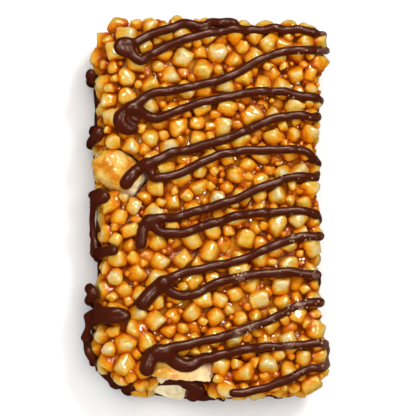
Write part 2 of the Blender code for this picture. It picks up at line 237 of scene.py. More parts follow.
# Nut pieces, as the solids have them
NUTS = {
    "nut_side": {
        "centre": Vector((-21.2, 6.9, 12.4)) * MM,
        "half_size": Vector((7.3, 4.6, 4.3)) * MM,
        "turn": (0, 14, -36),
        "broken_face": (Vector((5.6, 0, 0)) * MM, Vector((1, 0, 0.35))),
    },
    "nut_end_upper": {
        "centre": Vector((-7.0, -39.5, 12.4)) * MM,
        "half_size": Vector((7.4, 3.9, 3.7)) * MM,
        "turn": (0, 0, -6),
        "broken_face": (Vector((0, -1.6, 0)) * MM, Vector((0.05, -1, -0.3))),
    },
    "nut_end_lower": {
        "centre": Vector((-8.9, -42.4, 7.7)) * MM,
        "half_size": Vector((5.0, 2.6, 3.2)) * MM,
        "turn": (8, 24, -14),
        "broken_face": (Vector((0, -0.4, 1.5)) * MM, Vector((0.1, -0.5, 1))),
    },
}

# Grids on which the syrup and the chocolate are shaped
SYRUP_CELL = 0.6 * MM
STRAND_CELL = 0.34 * MM
GRID_MARGIN = 2.5 * MM
FAR = 9 * MM


def side_reach(x, y):
    """Half the bar's width at y, on the side that x is on."""
    wave = SIDE_WAVE * np.sin(y / SIDE_WAVE_LENGTH + np.where(x < 0, 0.6, 2.4))
    waist = WAIST * np.exp(-(((y - WAIST_Y) / WAIST_REACH) ** 2))
    bulge = BULGE * np.exp(-(((y - BULGE_Y) / BULGE_REACH) ** 2))
    return BAR_WIDTH / 2 + wave - waist + np.where(x > 0, bulge, 0)


def end_reach(x, y):
    """Half the bar's length at x, at the end that y is on."""
    return BAR_LENGTH / 2 + SIDE_WAVE * np.sin(x / SIDE_WAVE_LENGTH + np.where(y < 0, 1.2, 2.0))


def plan_distance(x, y):
    """Distance from the bar's outline seen from above, negative inside it."""
    front = np.where(x < 0, CORNER_RADIUS["front_left"], CORNER_RADIUS["front_right"])
    back = np.where(x < 0, CORNER_RADIUS["back_left"], CORNER_RADIUS["back_right"])
    radius = np.where(y < 0, front, back)
    across = np.abs(x) - side_reach(x, y) + radius
    along = np.abs(y) - end_reach(x, y) + radius
    outside = np.hypot(np.maximum(across, 0), np.maximum(along, 0))
    return outside + np.minimum(np.maximum(across, along), 0) - radius


def bar_distance(points):
    """Distance from the outside of the block of crisps, negative inside it."""
    x, y, z = np.moveaxis(np.asarray(points, float), -1, 0)
    middle = (BAR_TOP + BAR_FOOT) / 2
    edge = np.where(z > middle, UPPER_EDGE, LOWER_EDGE)
    across = plan_distance(x, y) + edge
    up = np.abs(z - middle) - (BAR_TOP - BAR_FOOT) / 2 + edge
    outside = np.hypot(np.maximum(across, 0), np.maximum(up, 0))
    return outside + np.minimum(np.maximum(across, up), 0) - edge


def outward(points):
    """The direction out of the block of crisps at each point."""
    slopes = [bar_distance(points + d) - bar_distance(points - d) for d in np.eye(3) * SLOPE_STEP]
    slopes = np.array(slopes).T
    return slopes / np.linalg.norm(slopes, axis=1, keepdims=True)


def onto_bar(points, lift):
    """The points moved along the slope until they are lift outside the block."""
    points = np.array(points, float)
    for _ in range(ONTO_BAR_STEPS):
        points -= (bar_distance(points) - lift)[:, None] * outward(points)
    return points


def nut_frame(nut):
    turn = Euler([math.radians(angle) for angle in nut["turn"]])
    return Matrix.LocRotScale(nut["centre"], turn, None)


def in_a_nut(point, margin):
    """Whether a crisp with this centre would cross a nut piece."""
    for nut in NUTS.values():
        local = nut_frame(nut).inverted() @ Vector(point)
        reach = [local[axis] / (nut["half_size"][axis] + margin) for axis in range(3)]
        if Vector(reach).length < 1:
            return True
    return False


def crosses_a_nut(point, size):
    return in_a_nut(point, size / 2)


# How far an added crisp's middle keeps from a nut, in sizes of the crisp, and how deep
# under it a nut still counts as hidden
NUT_CLEARANCE = 0.45
NUT_VIEW = 2.4 * MM


def covers_a_nut(point, size):
    """Whether an added crisp would cross a nut or hide it. Beside the side nut's broken end
    there is room."""
    nut = NUTS["nut_side"]
    face, normal = nut["broken_face"]
    margin = NUT_CLEARANCE * size
    past_face = (nut_frame(nut).inverted() @ Vector(point) - face) @ normal.normalized()
    if past_face > margin and point[1] > 0:
        return False
    under = point - NUT_VIEW * outward(point[None])[0]
    return in_a_nut(point, margin) or in_a_nut(under, margin)


def search_box():
    """The corners of the box in which places for crisps are tried."""
    reach = np.array([BAR_WIDTH / 2 + BULGE, BAR_LENGTH / 2 + SIDE_WAVE, 0])
    return -reach + [0, 0, BAR_FOOT], reach + [0, 0, BAR_TOP]


def with_fitting(tries, size, spacing, blocked, centres, sizes):
    """The centres and sizes, with those of the tries added that keep their distance."""
    for centre in tries[tries[:, 2] > BAR_FOOT + LOWEST_CRISP * size]:
        away = np.linalg.norm(centres - centre, axis=1)
        if (away < spacing * (sizes + size) / 2).any() or blocked(centre, size):
            continue
        centres, sizes = np.vstack([centres, centre]), np.append(sizes, size)
    return centres, sizes


def crisp_places():
    """Centres, sizes, turns and stretches of the crisps that the solids have."""
    draw = np.random.default_rng(CRISP_SEED)
    centres, sizes = np.empty((0, 3)), np.empty(0)
    for size in np.linspace(LARGEST_CRISP, SMALLEST_CRISP, CRISP_SIZES):
        tries = draw.uniform(*search_box(), (CRISP_TRIES, 3))
        tries = tries[np.abs(-bar_distance(tries) - 0.5 * size) < CRISP_SINK]
        centres, sizes = with_fitting(tries, size, CRISP_SPACING, crosses_a_nut, centres, sizes)
    turns = draw.uniform(0, 2 * math.pi, (len(sizes), 3))
    stretches = draw.uniform(*CRISP_STRETCH, len(sizes))
    return centres, sizes, turns, stretches


def fill_places(draw, fill, centres, sizes):
    """Adds crisps of one of the FILLS to the centres and sizes."""
    for size in np.array(fill["sizes"]) * MM:
        tries = draw.uniform(*search_box(), (fill["tries"], 3))
        depth = -bar_distance(tries) - 0.5 * size
        tries = tries[(depth > fill["depth"][0] * MM) & (depth < fill["depth"][1] * MM)]
        centres, sizes = with_fitting(tries, size, fill["spacing"], covers_a_nut, centres, sizes)
    return centres, sizes


class Crisp:
    """One crisp: where it is, and its rounded shape between flat or curved faces."""

    def __init__(self, centre, size, turn, stretch, kind, draw):
        self.centre, self.size, self.kind = centre, size, kind
        self.half = np.array([size, size, size * stretch]) / 2
        self.turn = np.array(Euler(turn).to_matrix())
        self.tone = draw.uniform(0, 1)
        self.seed = draw.uniform(0, 100, 3)
        if kind == "ball":
            self.normals, self.faces_out, self.power = ball_faces(draw)
        else:
            self.normals, self.faces_out, self.power = nugget_faces(draw, kind)

    def gauge(self, points):
        """1 on the crisp's surface, less inside it and more outside."""
        local = ((points - self.centre) @ self.turn) / self.half
        share = np.maximum(local @ self.normals.T, 0) / self.faces_out
        return (share**self.power).sum(-1) ** (1 / self.power)

    def distance(self, points):
        return (self.gauge(points) - 1) * self.size / 2


# The forms of crisps: how many faces go round each kind and how sharp its edges are, how
# much the faces turn, lean and tilt, and how far out they are, in half sizes
CRISP_FORMS = {"cut": (6, 6.5), "round": (9, 4.8), "broken": (9, 4.8)}
SIDE_TURNED, SIDE_LEAN, END_TILT = 0.22, 0.16, 0.22
SIDE_OUT, END_OUT, CORNER_OUT = (0.88, 1.1), (0.92, 1.06), (1.0, 1.08)
BALL_PAIRS, BALL_OUT, BALL_SHARPNESS = 14, (0.86, 1.02), 7.0


def nugget_faces(draw, kind):
    """Directions and distances of a crisp's faces: two cut ends and several round its side."""
    count, sharpness = CRISP_FORMS[kind]
    turned = draw.uniform(-SIDE_TURNED, SIDE_TURNED, count)
    angles = 2 * math.pi * (np.arange(count) + turned) / count
    lean = draw.uniform(-SIDE_LEAN, SIDE_LEAN, count)
    side = np.stack([np.cos(angles), np.sin(angles), lean], 1)
    ends = np.array([[0, 0, 1.0], [0, 0, -1.0]])
    ends[:, :2] = draw.uniform(-END_TILT, END_TILT, (2, 2))
    corners = draw.normal(size=(2, 3))
    normals = np.vstack([side, ends, corners])
    normals /= np.linalg.norm(normals, axis=1, keepdims=True)
    out = [draw.uniform(*SIDE_OUT, count), draw.uniform(*END_OUT, 2), CORNER_OUT]
    return normals, np.concatenate(out), sharpness


def ball_faces(draw):
    normals = draw.normal(size=(BALL_PAIRS, 3))
    normals /= np.linalg.norm(normals, axis=1, keepdims=True)
    return np.vstack([normals, -normals]), draw.uniform(*BALL_OUT, 2 * BALL_PAIRS), BALL_SHARPNESS


@functools.lru_cache
def cube_sphere(count):
    """Directions over a sphere and the quads between them, from a cube with count squares a side."""
    steps = np.tan(np.linspace(-1, 1, count + 1) * math.pi / 4)
    index, points, quads = {}, [], []
    for axis in range(3):
        for sign in (-1, 1):
            ids = np.empty((count + 1, count + 1), int)
            for i, u in enumerate(steps):
                for j, v in enumerate(steps):
                    point = np.zeros(3)
                    point[axis], point[(axis + 1) % 3], point[(axis + 2) % 3] = sign, u, v
                    key = tuple(np.round(point, 6))
                    if key not in index:
                        index[key] = len(points)
                        points.append(point)
                    ids[i, j] = index[key]
            corners = [ids[:-1, :-1], ids[1:, :-1], ids[1:, 1:], ids[:-1, 1:]]
            quads.append(np.stack([c.ravel() for c in corners[::sign]], 1))
    points = np.array(points)
    return points / np.linalg.norm(points, axis=1, keepdims=True), np.vstack(quads)


# A crisp's surface: how far its faces sink, its dents, and the ragged hollow of a broken one
FACE_SINK = 0.05
DENTS, DENT_SCALE = 0.085, 1.7
FINE_DENTS, FINE_DENT_SCALE = 0.05, 4.3
HOLLOW_REACH, HOLLOW_DEPTH, HOLLOW_EDGE = 0.66, 0.9, 4
HOLLOW_RAGGED, HOLLOW_FRAYED = 0.5, 0.3


def crisp_points(crisp, directions):
    """The crisp's surface: faces sunk between their edges, dents, and on a broken one a hollow."""
    share = np.maximum(directions @ crisp.normals.T, 0) / crisp.faces_out
    powers = share**crisp.power
    radius = powers.sum(1) ** (-1 / crisp.power)
    middle = np.clip(2 * powers.max(1) / powers.sum(1) - 1, 0, 1)
    local = directions * (radius * (1 - FACE_SINK * middle))[:, None]
    coarse = np.array([noise.noise(Vector(d * DENT_SCALE + crisp.seed)) for d in directions])
    fine = np.array([noise.noise(Vector(d * FINE_DENT_SCALE + crisp.seed)) for d in directions])
    if crisp.kind == "broken":
        ragged = 1 + HOLLOW_RAGGED * coarse + HOLLOW_FRAYED * fine
        out = np.linalg.norm(local[:, :2], axis=1) * ragged
        hollow = np.clip(1 - (out / HOLLOW_REACH) ** HOLLOW_EDGE, 0, 1) * (local[:, 2] > 0)
        local[:, 2] -= HOLLOW_DEPTH * hollow * np.maximum(local[:, 2], 0)
    local *= 1 + (DENTS * coarse + FINE_DENTS * fine)[:, None]
    return (local * crisp.half) @ crisp.turn.T + crisp.centre


def axes_of(low, high, cell):
    """The coordinates of a grid's points along each axis."""
    return [np.arange(a, b + cell, cell) for a, b in zip(low, high)]


def window(axes, low, high):
    """The part of a grid between two corners: its index and its points."""
    index = tuple(slice(*np.searchsorted(axis, (a, b))) for axis, a, b in zip(axes, low, high))
    parts = [axis[i] for axis, i in zip(axes, index)]
    return index, np.stack(np.meshgrid(*parts, indexing="ij"), -1)


def sample(field, axes, points):
    """The field's values at points, between the grid's own."""
    cell = axes[0][1] - axes[0][0]
    place = (points - [axis[0] for axis in axes]) / cell
    place = np.clip(place, 0, np.array(field.shape) - 1.001)
    first = place.astype(int)
    share = place - first
    total = 0
    for corner in np.ndindex(2, 2, 2):
        weight = np.prod(np.where(corner, share, 1 - share), axis=-1)
        total = total + weight * field[tuple((first + corner).T)]
    return total


def blurred(field, cells):
    """The field smoothed over about this many cells."""
    reach = int(3 * cells)
    weights = np.exp(-0.5 * (np.arange(-reach, reach + 1) / cells) ** 2)
    weights /= weights.sum()
    for axis in range(3):
        padded = np.pad(field, [(reach, reach) if a == axis else (0, 0) for a in range(3)], "edge")
        parts = (np.take(padded, range(i, i + field.shape[axis]), axis) for i in range(len(weights)))
        field = sum(weight * part for weight, part in zip(weights, parts))
    return field


def smooth_min(a, b, width):
    """The smaller of two distances, run together where they are within width."""
    mix = np.clip(0.5 + 0.5 * (b - a) / width, 0, 1)
    return b + (a - b) * mix - width * mix * (1 - mix)


def surface_net(field, axes):
    """Points and quads of the closed surface where the field crosses zero, negative inside."""
    inside = field < 0
    cell = axes[0][1] - axes[0][0]
    sizes = np.array(field.shape) - 1
    parts = [inside[tuple(slice(c, c + n) for c, n in zip(corner, sizes))] for corner in np.ndindex(2, 2, 2)]
    filled = sum(part.astype(np.int8) for part in parts)
    cubes = np.argwhere((filled > 0) & (filled < 8))
    number = np.full(sizes, -1)
    number[tuple(cubes.T)] = np.arange(len(cubes))
    total, count = np.zeros((len(cubes), 3)), np.zeros(len(cubes))
    quads = []
    for axis in range(3):
        unit = np.eye(3, dtype=int)[axis]
        u, v = np.eye(3, dtype=int)[(axis + 1) % 3], np.eye(3, dtype=int)[(axis + 2) % 3]
        for start in (0 * u, u, v, u + v):
            near, far = field[tuple((cubes + start).T)], field[tuple((cubes + start + unit).T)]
            crosses = (near < 0) != (far < 0)
            share = near[crosses] / (near[crosses] - far[crosses])
            total[crosses] += start + unit * share[:, None]
            count[crosses] += 1
        before = [slice(None, -1) if a == axis else slice(None) for a in range(3)]
        after = [slice(1, None) if a == axis else slice(None) for a in range(3)]
        ends = np.argwhere(inside[tuple(before)] != inside[tuple(after)])
        quad = np.stack([number[tuple((ends - shift).T)] for shift in (0 * u, u, u + v, v)], 1)
        leaving = inside[tuple(ends.T)]
        quads.append(np.where(leaving[:, None], quad, quad[:, ::-1]))
    points = (cubes + total / count[:, None]) * cell + [axis[0] for axis in axes]
    return points, np.vstack(quads)


def reached_from_outside(free):
    """The part of the free cells that a way through free cells joins to the grid's corner."""
    reached = np.zeros_like(free)
    reached[0, 0, 0] = True
    while True:
        before = reached.sum()
        for axis in range(3):
            for step in (slice(1, None), slice(None, -1)):
                other = slice(None, -1) if step == slice(1, None) else slice(1, None)
                to = tuple(step if a == axis else slice(None) for a in range(3))
                source = tuple(other if a == axis else slice(None) for a in range(3))
                reached[to] |= reached[source] & free[to]
        if reached.sum() == before:
            return reached


def shown(name, points, faces, values=None, smooth=True):
    """A mesh object, with named numbers on its points that the materials read."""
    mesh = bpy.data.meshes.new(name)
    mesh.from_pydata(points.tolist(), [], faces.tolist())
    for key, numbers in (values or {}).items():
        attribute = mesh.attributes.new(key, "FLOAT", "POINT")
        attribute.data.foreach_set("value", np.asarray(numbers, np.float32))
    if smooth:
        mesh.shade_smooth()
    mesh.validate()
    piece = bpy.data.objects.new(name, mesh)
    bpy.context.scene.collection.objects.link(piece)
    return piece


def add_piece(piece, material, slot, *nodes):
    """Gives the piece its material and its place in the frame."""
    piece.data.materials.append(material)
    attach(piece, "root")
    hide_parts(*nodes)


def lumps(points, scale, seed):
    """Smooth noise at each point, from about -1 to 1, with features of this size."""
    shift = Vector((seed, 2.7 * seed, -1.3 * seed))
    flat = points.reshape(-1, 3)
    values = [noise.noise(Vector(p) / scale + shift) for p in flat]
    return np.array(values).reshape(points.shape[:-1])


def layered_lumps(points, layers):
    """Smooth noise at each point, in layers of (height, size of its features in mm, seed)."""
    return sum(height * lumps(points, size * MM, seed) for height, size, seed in layers)


# The kinds of crisps and their shares among the solids' crisps and the added ones
KINDS = ("cut", "round", "broken")
KIND_SHARES = (0.6, 0.36, 0.04)
FILL_KIND_SHARES = (0.45, 0.42, 0.13)
FILL_STRETCH = (0.7, 1.15)


def all_crisps():
    """Every crisp that shows, the solids' ones first."""
    centres, sizes, turns, stretches = crisp_places()
    draw = np.random.default_rng(FILL_SEED)
    kinds = draw.choice(KINDS, len(sizes), p=KIND_SHARES)
    crisps = [Crisp(*place, kind, draw) for *place, kind in zip(centres, sizes, turns, stretches, kinds)]
    for x, y, z, size in np.array(CORNER_CRISPS) * MM:
        centres, sizes = np.vstack([centres, (x, y, z)]), np.append(sizes, size)
        crisps.append(Crisp(centres[-1], size, draw.uniform(0, 2 * math.pi, 3), 1.0, "cut", draw))
    for name, fill in FILLS.items():
        known = len(sizes)
        centres, sizes = fill_places(draw, fill, centres, sizes)
        for centre, size in zip(centres[known:], sizes[known:]):
            kind = "ball" if name == "balls" else draw.choice(KINDS, p=FILL_KIND_SHARES)
            turn, stretch = draw.uniform(0, 2 * math.pi, 3), draw.uniform(*FILL_STRETCH)
            crisps.append(Crisp(centre, size, turn, 1.0 if kind == "ball" else stretch, kind, draw))
    return crisps


# Syrup: how far it draws near crisps together, how far under their tops it stays, the depth
# at which the block is solid and how far from the front nuts, how deep inside a crisp its
# surface is left out, its distance from the nuts, how it is smoothed, and its waves
SYRUP_SPREAD = 0.5 * MM
SYRUP_REACH = 1.8 * MM
SYRUP_UNDER = 0.52 * MM
SOLID_DEPTH = 3.4 * MM
SOLID_CLEARANCE = 1.8 * MM
FRONT_GAP_Y = -39.5 * MM
SYRUP_HIDDEN = 0.7 * MM
SYRUP_NUT_GAP = 0.35 * MM
CLOSED_POCKET = -0.1 * MM
UNDERSIDE = BASE_THICKNESS + 0.1 * MM
RELAX_ROUNDS, KEPT_PLACE = 3, 0.4
WAVE_HEIGHT = 0.15 * MM
WAVE_LENGTH = 1.5 * MM


def crisp_fields(axes, crisps):
    """Grids of how much crisp there is round each point, 1 on a lone crisp's surface, and of
    how far the nearest crisp is."""
    total = np.zeros([len(axis) for axis in axes], np.float32)
    nearest = np.full(total.shape, SYRUP_REACH, np.float32)
    for crisp in crisps:
        reach = crisp.half.max() * 1.1 + SYRUP_REACH
        index, points = window(axes, crisp.centre - reach, crisp.centre + reach)
        away = crisp.distance(points)
        total[index] += np.exp(-away / SYRUP_SPREAD)
        nearest[index] = np.minimum(nearest[index], away)
    return total, nearest


def nut_distance(points):
    """Distance from the nearest nut piece."""
    nearest = np.full(points.shape[:-1], FAR)
    for nut in NUTS.values():
        place = np.array(nut_frame(nut))
        local = (points - place[:3, 3]) @ place[:3, :3]
        half = np.array(nut["half_size"])
        face, normal = nut["broken_face"]
        past = (local - np.array(face)) @ np.array(normal.normalized())
        kernel = (np.linalg.norm(local / half, axis=-1) - 1) * half.min()
        nearest = np.minimum(nearest, np.maximum(kernel, past))
    return nearest


def slopes_of(points, quads):
    """The direction out of the surface at each of its points."""
    corners = points[quads]
    turned = np.cross(corners[:, 2] - corners[:, 0], corners[:, 3] - corners[:, 1])
    out = np.zeros_like(points)
    for column in quads.T:
        np.add.at(out, column, turned)
    return out / np.maximum(np.linalg.norm(out, axis=1, keepdims=True), 1e-12)


def relaxed(points, quads, rounds):
    """The points drawn towards the middle of their neighbours, which takes the grid's steps out."""
    for _ in range(rounds):
        total, count = np.zeros_like(points), np.zeros((len(points), 1))
        for column, after in zip(quads.T, np.roll(quads, -1, 1).T):
            np.add.at(total, column, points[after])
            np.add.at(total, after, points[column])
            np.add.at(count, column, 1)
            np.add.at(count, after, 1)
        points = KEPT_PLACE * points + (1 - KEPT_PLACE) * total / count
    return points


def syrup_surface(axes, total, nearest, grid_points):
    """The distance from crisps drawn together by syrup, and the syrup's points and quads."""
    distance = -SYRUP_SPREAD * np.log(np.maximum(total, math.exp(-SYRUP_REACH / SYRUP_SPREAD)))
    from_nuts = nut_distance(grid_points)
    front_gap = np.where(grid_points[..., 1] < FRONT_GAP_Y, SOLID_CLEARANCE - from_nuts, -FAR)
    solid = np.maximum(bar_distance(grid_points) + SOLID_DEPTH, front_gap)
    field = np.minimum(distance + SYRUP_UNDER, solid)
    field = np.maximum(field, SYRUP_NUT_GAP - from_nuts)
    field = np.maximum(field, BAR_FOOT - GAP - grid_points[..., 2])
    closed = (field > 0) & ~reached_from_outside(field > 0)
    field = np.where(closed, CLOSED_POCKET, field)
    points, quads = surface_net(field, axes)
    hidden = (sample(nearest, axes, points) < -SYRUP_HIDDEN) | (points[:, 2] < UNDERSIDE)
    quads = quads[~hidden[quads].all(1)]
    kept, quads = np.unique(quads, return_inverse=True)
    points, quads = points[kept], quads.reshape(-1, 4)
    points = relaxed(points, quads, RELAX_ROUNDS)
    waves = lumps(points, WAVE_LENGTH, 51)
    return distance, points + WAVE_HEIGHT * waves[:, None] * slopes_of(points, quads), quads


def smooth_line(corners):
    """A smooth line through places given in mm."""
    corners = np.array(corners) * MM
    padded = np.vstack([2 * corners[0] - corners[1], corners, 2 * corners[-1] - corners[-2]])
    line = []
    for before, start, end, after in zip(padded, padded[1:], padded[2:], padded[3:]):
        for t in np.linspace(0, 1, LINE_STEPS, endpoint=False):
            bend = (2 * before - 5 * start + 4 * end - after) * t**2
            bend += (3 * start - before - 3 * end + after) * t**3
            line.append(start + ((end - before) * t + bend) / 2)
    return [*line, corners[-1]]


def side_turn(start, end):
    """The bend between two strokes, which hangs down the right side."""
    (start_x, start_y), (end_x, end_y) = np.array(start) * MM, np.array(end) * MM
    middle, half = (start_y + end_y) / 2, (start_y - end_y) / 2
    path = []
    for angle in np.linspace(0, math.pi, TURN_STEPS):
        edge = start_x if angle < math.pi / 2 else end_x
        reach = OVER_EDGE + SIDE_TURN - edge
        path.append(np.array((edge + reach * math.sin(angle), middle + half * math.cos(angle))))
    return path


def drip(middle, half, top):
    """A loop up the left side and down again, as a path across the bar's surface."""
    path = []
    for angle in np.linspace(0, math.pi, DRIP_STEPS):
        across = -DRIP_FOOT + (DRIP_FOOT - top) * math.sin(angle) ** DRIP_SHAPE
        path.append(np.array((across, middle + half * math.cos(angle))))
    return path


def over_surface(path, lift):
    """A path of (distance across the surface, y) as points just outside the block."""
    points = []
    for across, y in path:
        sign = -1 if across < 0 else 1
        flat = float(side_reach(sign, y)) - UPPER_EDGE
        angle = min(max(abs(across) - flat, 0) / UPPER_EDGE, math.pi / 2)
        down = max(abs(across) - flat - UPPER_EDGE * math.pi / 2, 0)
        x = min(abs(across), flat) + UPPER_EDGE * math.sin(angle)
        z = BAR_TOP - UPPER_EDGE * (1 - math.cos(angle)) - down
        points.append((sign * x, y, z))
    return onto_bar(points, lift)


# How the strand lies: it follows the crisps' smoothed surface, sinks between them a little,
# and its thickness and line are uneven. It is thicker near its turns, and each tail has its
# radii in mm and sinks in by a share of what it is thicker than the strand.
DRAPE_BLUR = 1.7
DRAPE_LIFT = 0.5 * MM
DRAPE_STEPS = 8
LEAST_STEEPNESS = 0.25
STRAND_STEP = 0.45 * MM
UNEVEN_RADIUS = 0.13
UNEVEN_LINE = 0.32 * MM
UNEVEN_LENGTH = 5.2 * MM
MELT = 0.9 * MM
SIDE_RADIUS = 0.85 * MM
SIDE_LIFT = 0.1 * MM
TAIL_RADII = (
    (1.1, 1.05, 1.05, 1.1, 1.15, 1.2, 1.2),
    (1.3, 1.7, 1.75, 1.5, 1.1),
    (1.3, 1.6, 1.6),
    (1.25, 1.35, 1.45),
    (1.5, 1.9, 1.95),
    (1.6, 1.9, 1.9),
    (1.7, 1.6, 1.5, 1.4, 1.15),
)
TAIL_SINK = 0.6
STRAND_SLIM = 0.92
LAST_POINT = STROKES[-1][-1]
TURN_THICKER = 0.3
TURN_FADE = 5 * MM
DRIP_THIN = 0.75 * MM
LINE_STEPS = 8
TURN_STEPS = 16
DRIP_STEPS = 24


def resampled(points, step):
    """The same line with points this far apart."""
    points = np.array(points, float)
    along = np.concatenate([[0], np.cumsum(np.linalg.norm(np.diff(points, axis=0), axis=1))])
    places = np.linspace(0, along[-1], max(int(along[-1] / step), 2) + 1)
    return np.stack([np.interp(places, along, points[:, i]) for i in range(points.shape[1])], 1)


def draped(points, lift, surface, axes):
    """The points moved to lie this far outside the crisps' smoothed surface."""
    points = np.array(points, float)
    steps = np.eye(3) * SYRUP_CELL
    for _ in range(DRAPE_STEPS):
        rises = [sample(surface, axes, points + d) - sample(surface, axes, points - d) for d in steps]
        slope = np.array(rises).T / (2 * SYRUP_CELL)
        steepness = np.maximum((slope**2).sum(1, keepdims=True), LEAST_STEEPNESS)
        points -= (sample(surface, axes, points) - lift)[:, None] * slope / steepness
    return points


def strand_lines():
    """The strand's strokes, turns and tails: flat lines, a radius at each point, and a lift."""
    lines = [(smooth_line(FIRST_STROKE), STRAND_RADIUS, DRAPE_LIFT)]
    for out, back in zip(STROKES[::2], STROKES[1::2]):
        lines.append((side_turn(out[-1], back[0]), SIDE_RADIUS, SIDE_LIFT))
        for stroke, turn in ((out, out[0]), (back, back[-1])):
            line = smooth_line(stroke)
            away = np.linalg.norm(np.array(line) - np.array(turn) * MM, axis=1)
            thick = 1 + TURN_THICKER * np.exp(-away / TURN_FADE) * (turn != LAST_POINT)
            lines.append((line, STRAND_SLIM * STRAND_RADIUS * thick, DRAPE_LIFT))
    for tail, radii in zip(TAILS, TAIL_RADII):
        line = smooth_line(tail)
        places = np.linspace(0, len(radii) - 1, len(line))
        sink = TAIL_SINK * (max(radii) * MM - STRAND_RADIUS)
        lines.append((line, np.interp(places, range(len(radii)), radii) * MM, DRAPE_LIFT - sink))
    for middle, half, top, radius, lift in np.array(DRIPS) * MM:
        line = drip(middle, half, top)
        rise = np.sin(np.linspace(0, math.pi, len(line)))
        lines.append((line, DRIP_THIN + (radius - DRIP_THIN) * rise, lift))
    return lines


def strand_piece(axes, surface, surface_axes):
    """Points and quads of all the chocolate strands, run together where they meet."""
    field = np.full([len(axis) for axis in axes], FAR, np.float32)
    for number, (line, radius, lift) in enumerate(strand_lines()):
        radii = np.full(len(line), radius) if np.isscalar(radius) else radius
        flat = resampled(np.column_stack([np.array(line), radii]), STRAND_STEP)
        points = over_surface(flat[:, :2], STRAND_LIFT)
        points = draped(points, lift, surface, surface_axes)
        points[:, 1] += UNEVEN_LINE * lumps(points, UNEVEN_LENGTH, number)
        points[:, 0] += UNEVEN_LINE * lumps(points, UNEVEN_LENGTH, number + 40)
        radii = flat[:, 2] * (1 + UNEVEN_RADIUS * lumps(points, UNEVEN_LENGTH, number + 80))
        field = with_line(field, axes, points, radii)
    for lift, glob in GLOBS:
        flat = resampled(np.array(glob) * MM, STRAND_STEP)
        points = draped(flat[:, :3], lift * MM, surface, surface_axes)
        field = with_line(field, axes, points, flat[:, 3])
    return surface_net(field, axes)


def with_line(field, axes, points, radii):
    """The field with one more strand in it."""
    reach = radii.max() + 2 * MELT
    index, cells = window(axes, points.min(0) - reach, points.max(0) + reach)
    own = np.full(cells.shape[:-1], FAR, np.float32)
    own_axes = [axis[i] for axis, i in zip(axes, index)]
    for start, end, first, last in zip(points, points[1:], radii, radii[1:]):
        low, high = np.minimum(start, end) - reach, np.maximum(start, end) + reach
        part, near = window(own_axes, low, high)
        way = end - start
        share = np.clip(((near - start) @ way) / max(way @ way, 1e-12), 0, 1)
        away = np.linalg.norm(near - start - share[..., None] * way, axis=-1)
        own[part] = np.minimum(own[part], away - first - (last - first) * share)
    field[index] = smooth_min(field[index], own, MELT)
    return field


# The chocolate layer under the bar: how far in its rim lies and its lumps, how high it climbs
# the sides and how thickly, its distance from the nuts and the floor, and places where it
# climbs higher, as x and y, reach and height in mm
RIM_INSET = 0.3 * MM
RIM_LUMPS = 0.5 * MM
LAYER_CLIMB = 1.8 * MM
LEAST_CLIMB = 0.45
LAYER_COAT = 0.4 * MM
LAYER_LUMPS = ((1.0, 6, 3), (0.5, 2.4, 9))
LAYER_MELT = 0.8 * MM
LAYER_NUT_GAP = 0.3 * MM
FLOOR_GAP = 0.02 * MM
CLIMBS = (
    (-20.5, -42.0, 4.5, 9.0),
    (-25.5, -37.5, 3.0, 4.0),
    (0.5, -45.0, 5.5, 9.0),
    (14.0, -45.0, 5.0, 5.0),
)


def layer_piece(axes, distance, grid_points):
    """Points and quads of the chocolate underneath, which climbs the lowest crisps."""
    flat = grid_points[:, :, 0, :].copy()
    flat[..., 2] = 0
    uneven = layered_lumps(flat, LAYER_LUMPS)
    edge = plan_distance(flat[..., 0], flat[..., 1]) + RIM_INSET - RIM_LUMPS * uneven
    z = grid_points[..., 2]
    slab = np.maximum(edge[..., None] + 0.5 * np.abs(z - 0.5 * BASE_THICKNESS), z - BASE_THICKNESS)
    climb = BASE_THICKNESS + LAYER_CLIMB * np.clip(1.3 * uneven + LEAST_CLIMB, 0, 2)
    for x, y, reach, height in np.array(CLIMBS) * MM:
        away = np.hypot(flat[..., 0] - x, flat[..., 1] - y) + reach * 0.3 * uneven
        climb = np.maximum(climb, BASE_THICKNESS + height * np.clip(1.5 - 1.5 * away / reach, 0, 1))
    coat = np.maximum(distance - LAYER_COAT, z - climb[..., None])
    coat = np.maximum(coat, LAYER_NUT_GAP - nut_distance(grid_points))
    field = smooth_min(slab, coat, LAYER_MELT)
    field = np.maximum(field, FLOOR_GAP - z)
    return surface_net(field, axes)


# The nuts' lumps and their rough break. Then each piece's form: from round (2) to blocky, how
# lumpy it is, the direction along which its glazed skin turns to cream, where that starts and
# ends in mm, how far it turns, and how far its broken face is cut back, in mm.
NUT_SQUARES = 26
NUT_RELIEF = ((1.0, 3.6, 7), (0.6, 1.5, 23), (0.3, 0.7, 31))
NUT_BREAK = ((0.25 * MM, 0.8, 13), (0.5 * MM, 2.2, 17))
CREAM_UNEVEN = ((1.2, 2.5, 41),)
NUT_FORMS = {
    "nut_side": (2.3, 0.12, (1, -0.3, 0), (2.2, 3.4), 0.9, 0.0),
    "nut_end_upper": (2.8, 0.12, (0.8, -0.5, 0), (-3.0, 5.0), 0.75, 0.5),
    "nut_end_lower": (4.5, 0.08, (0.4, 0, 1), (-2.0, -0.6), 1.0, 0.0),
}


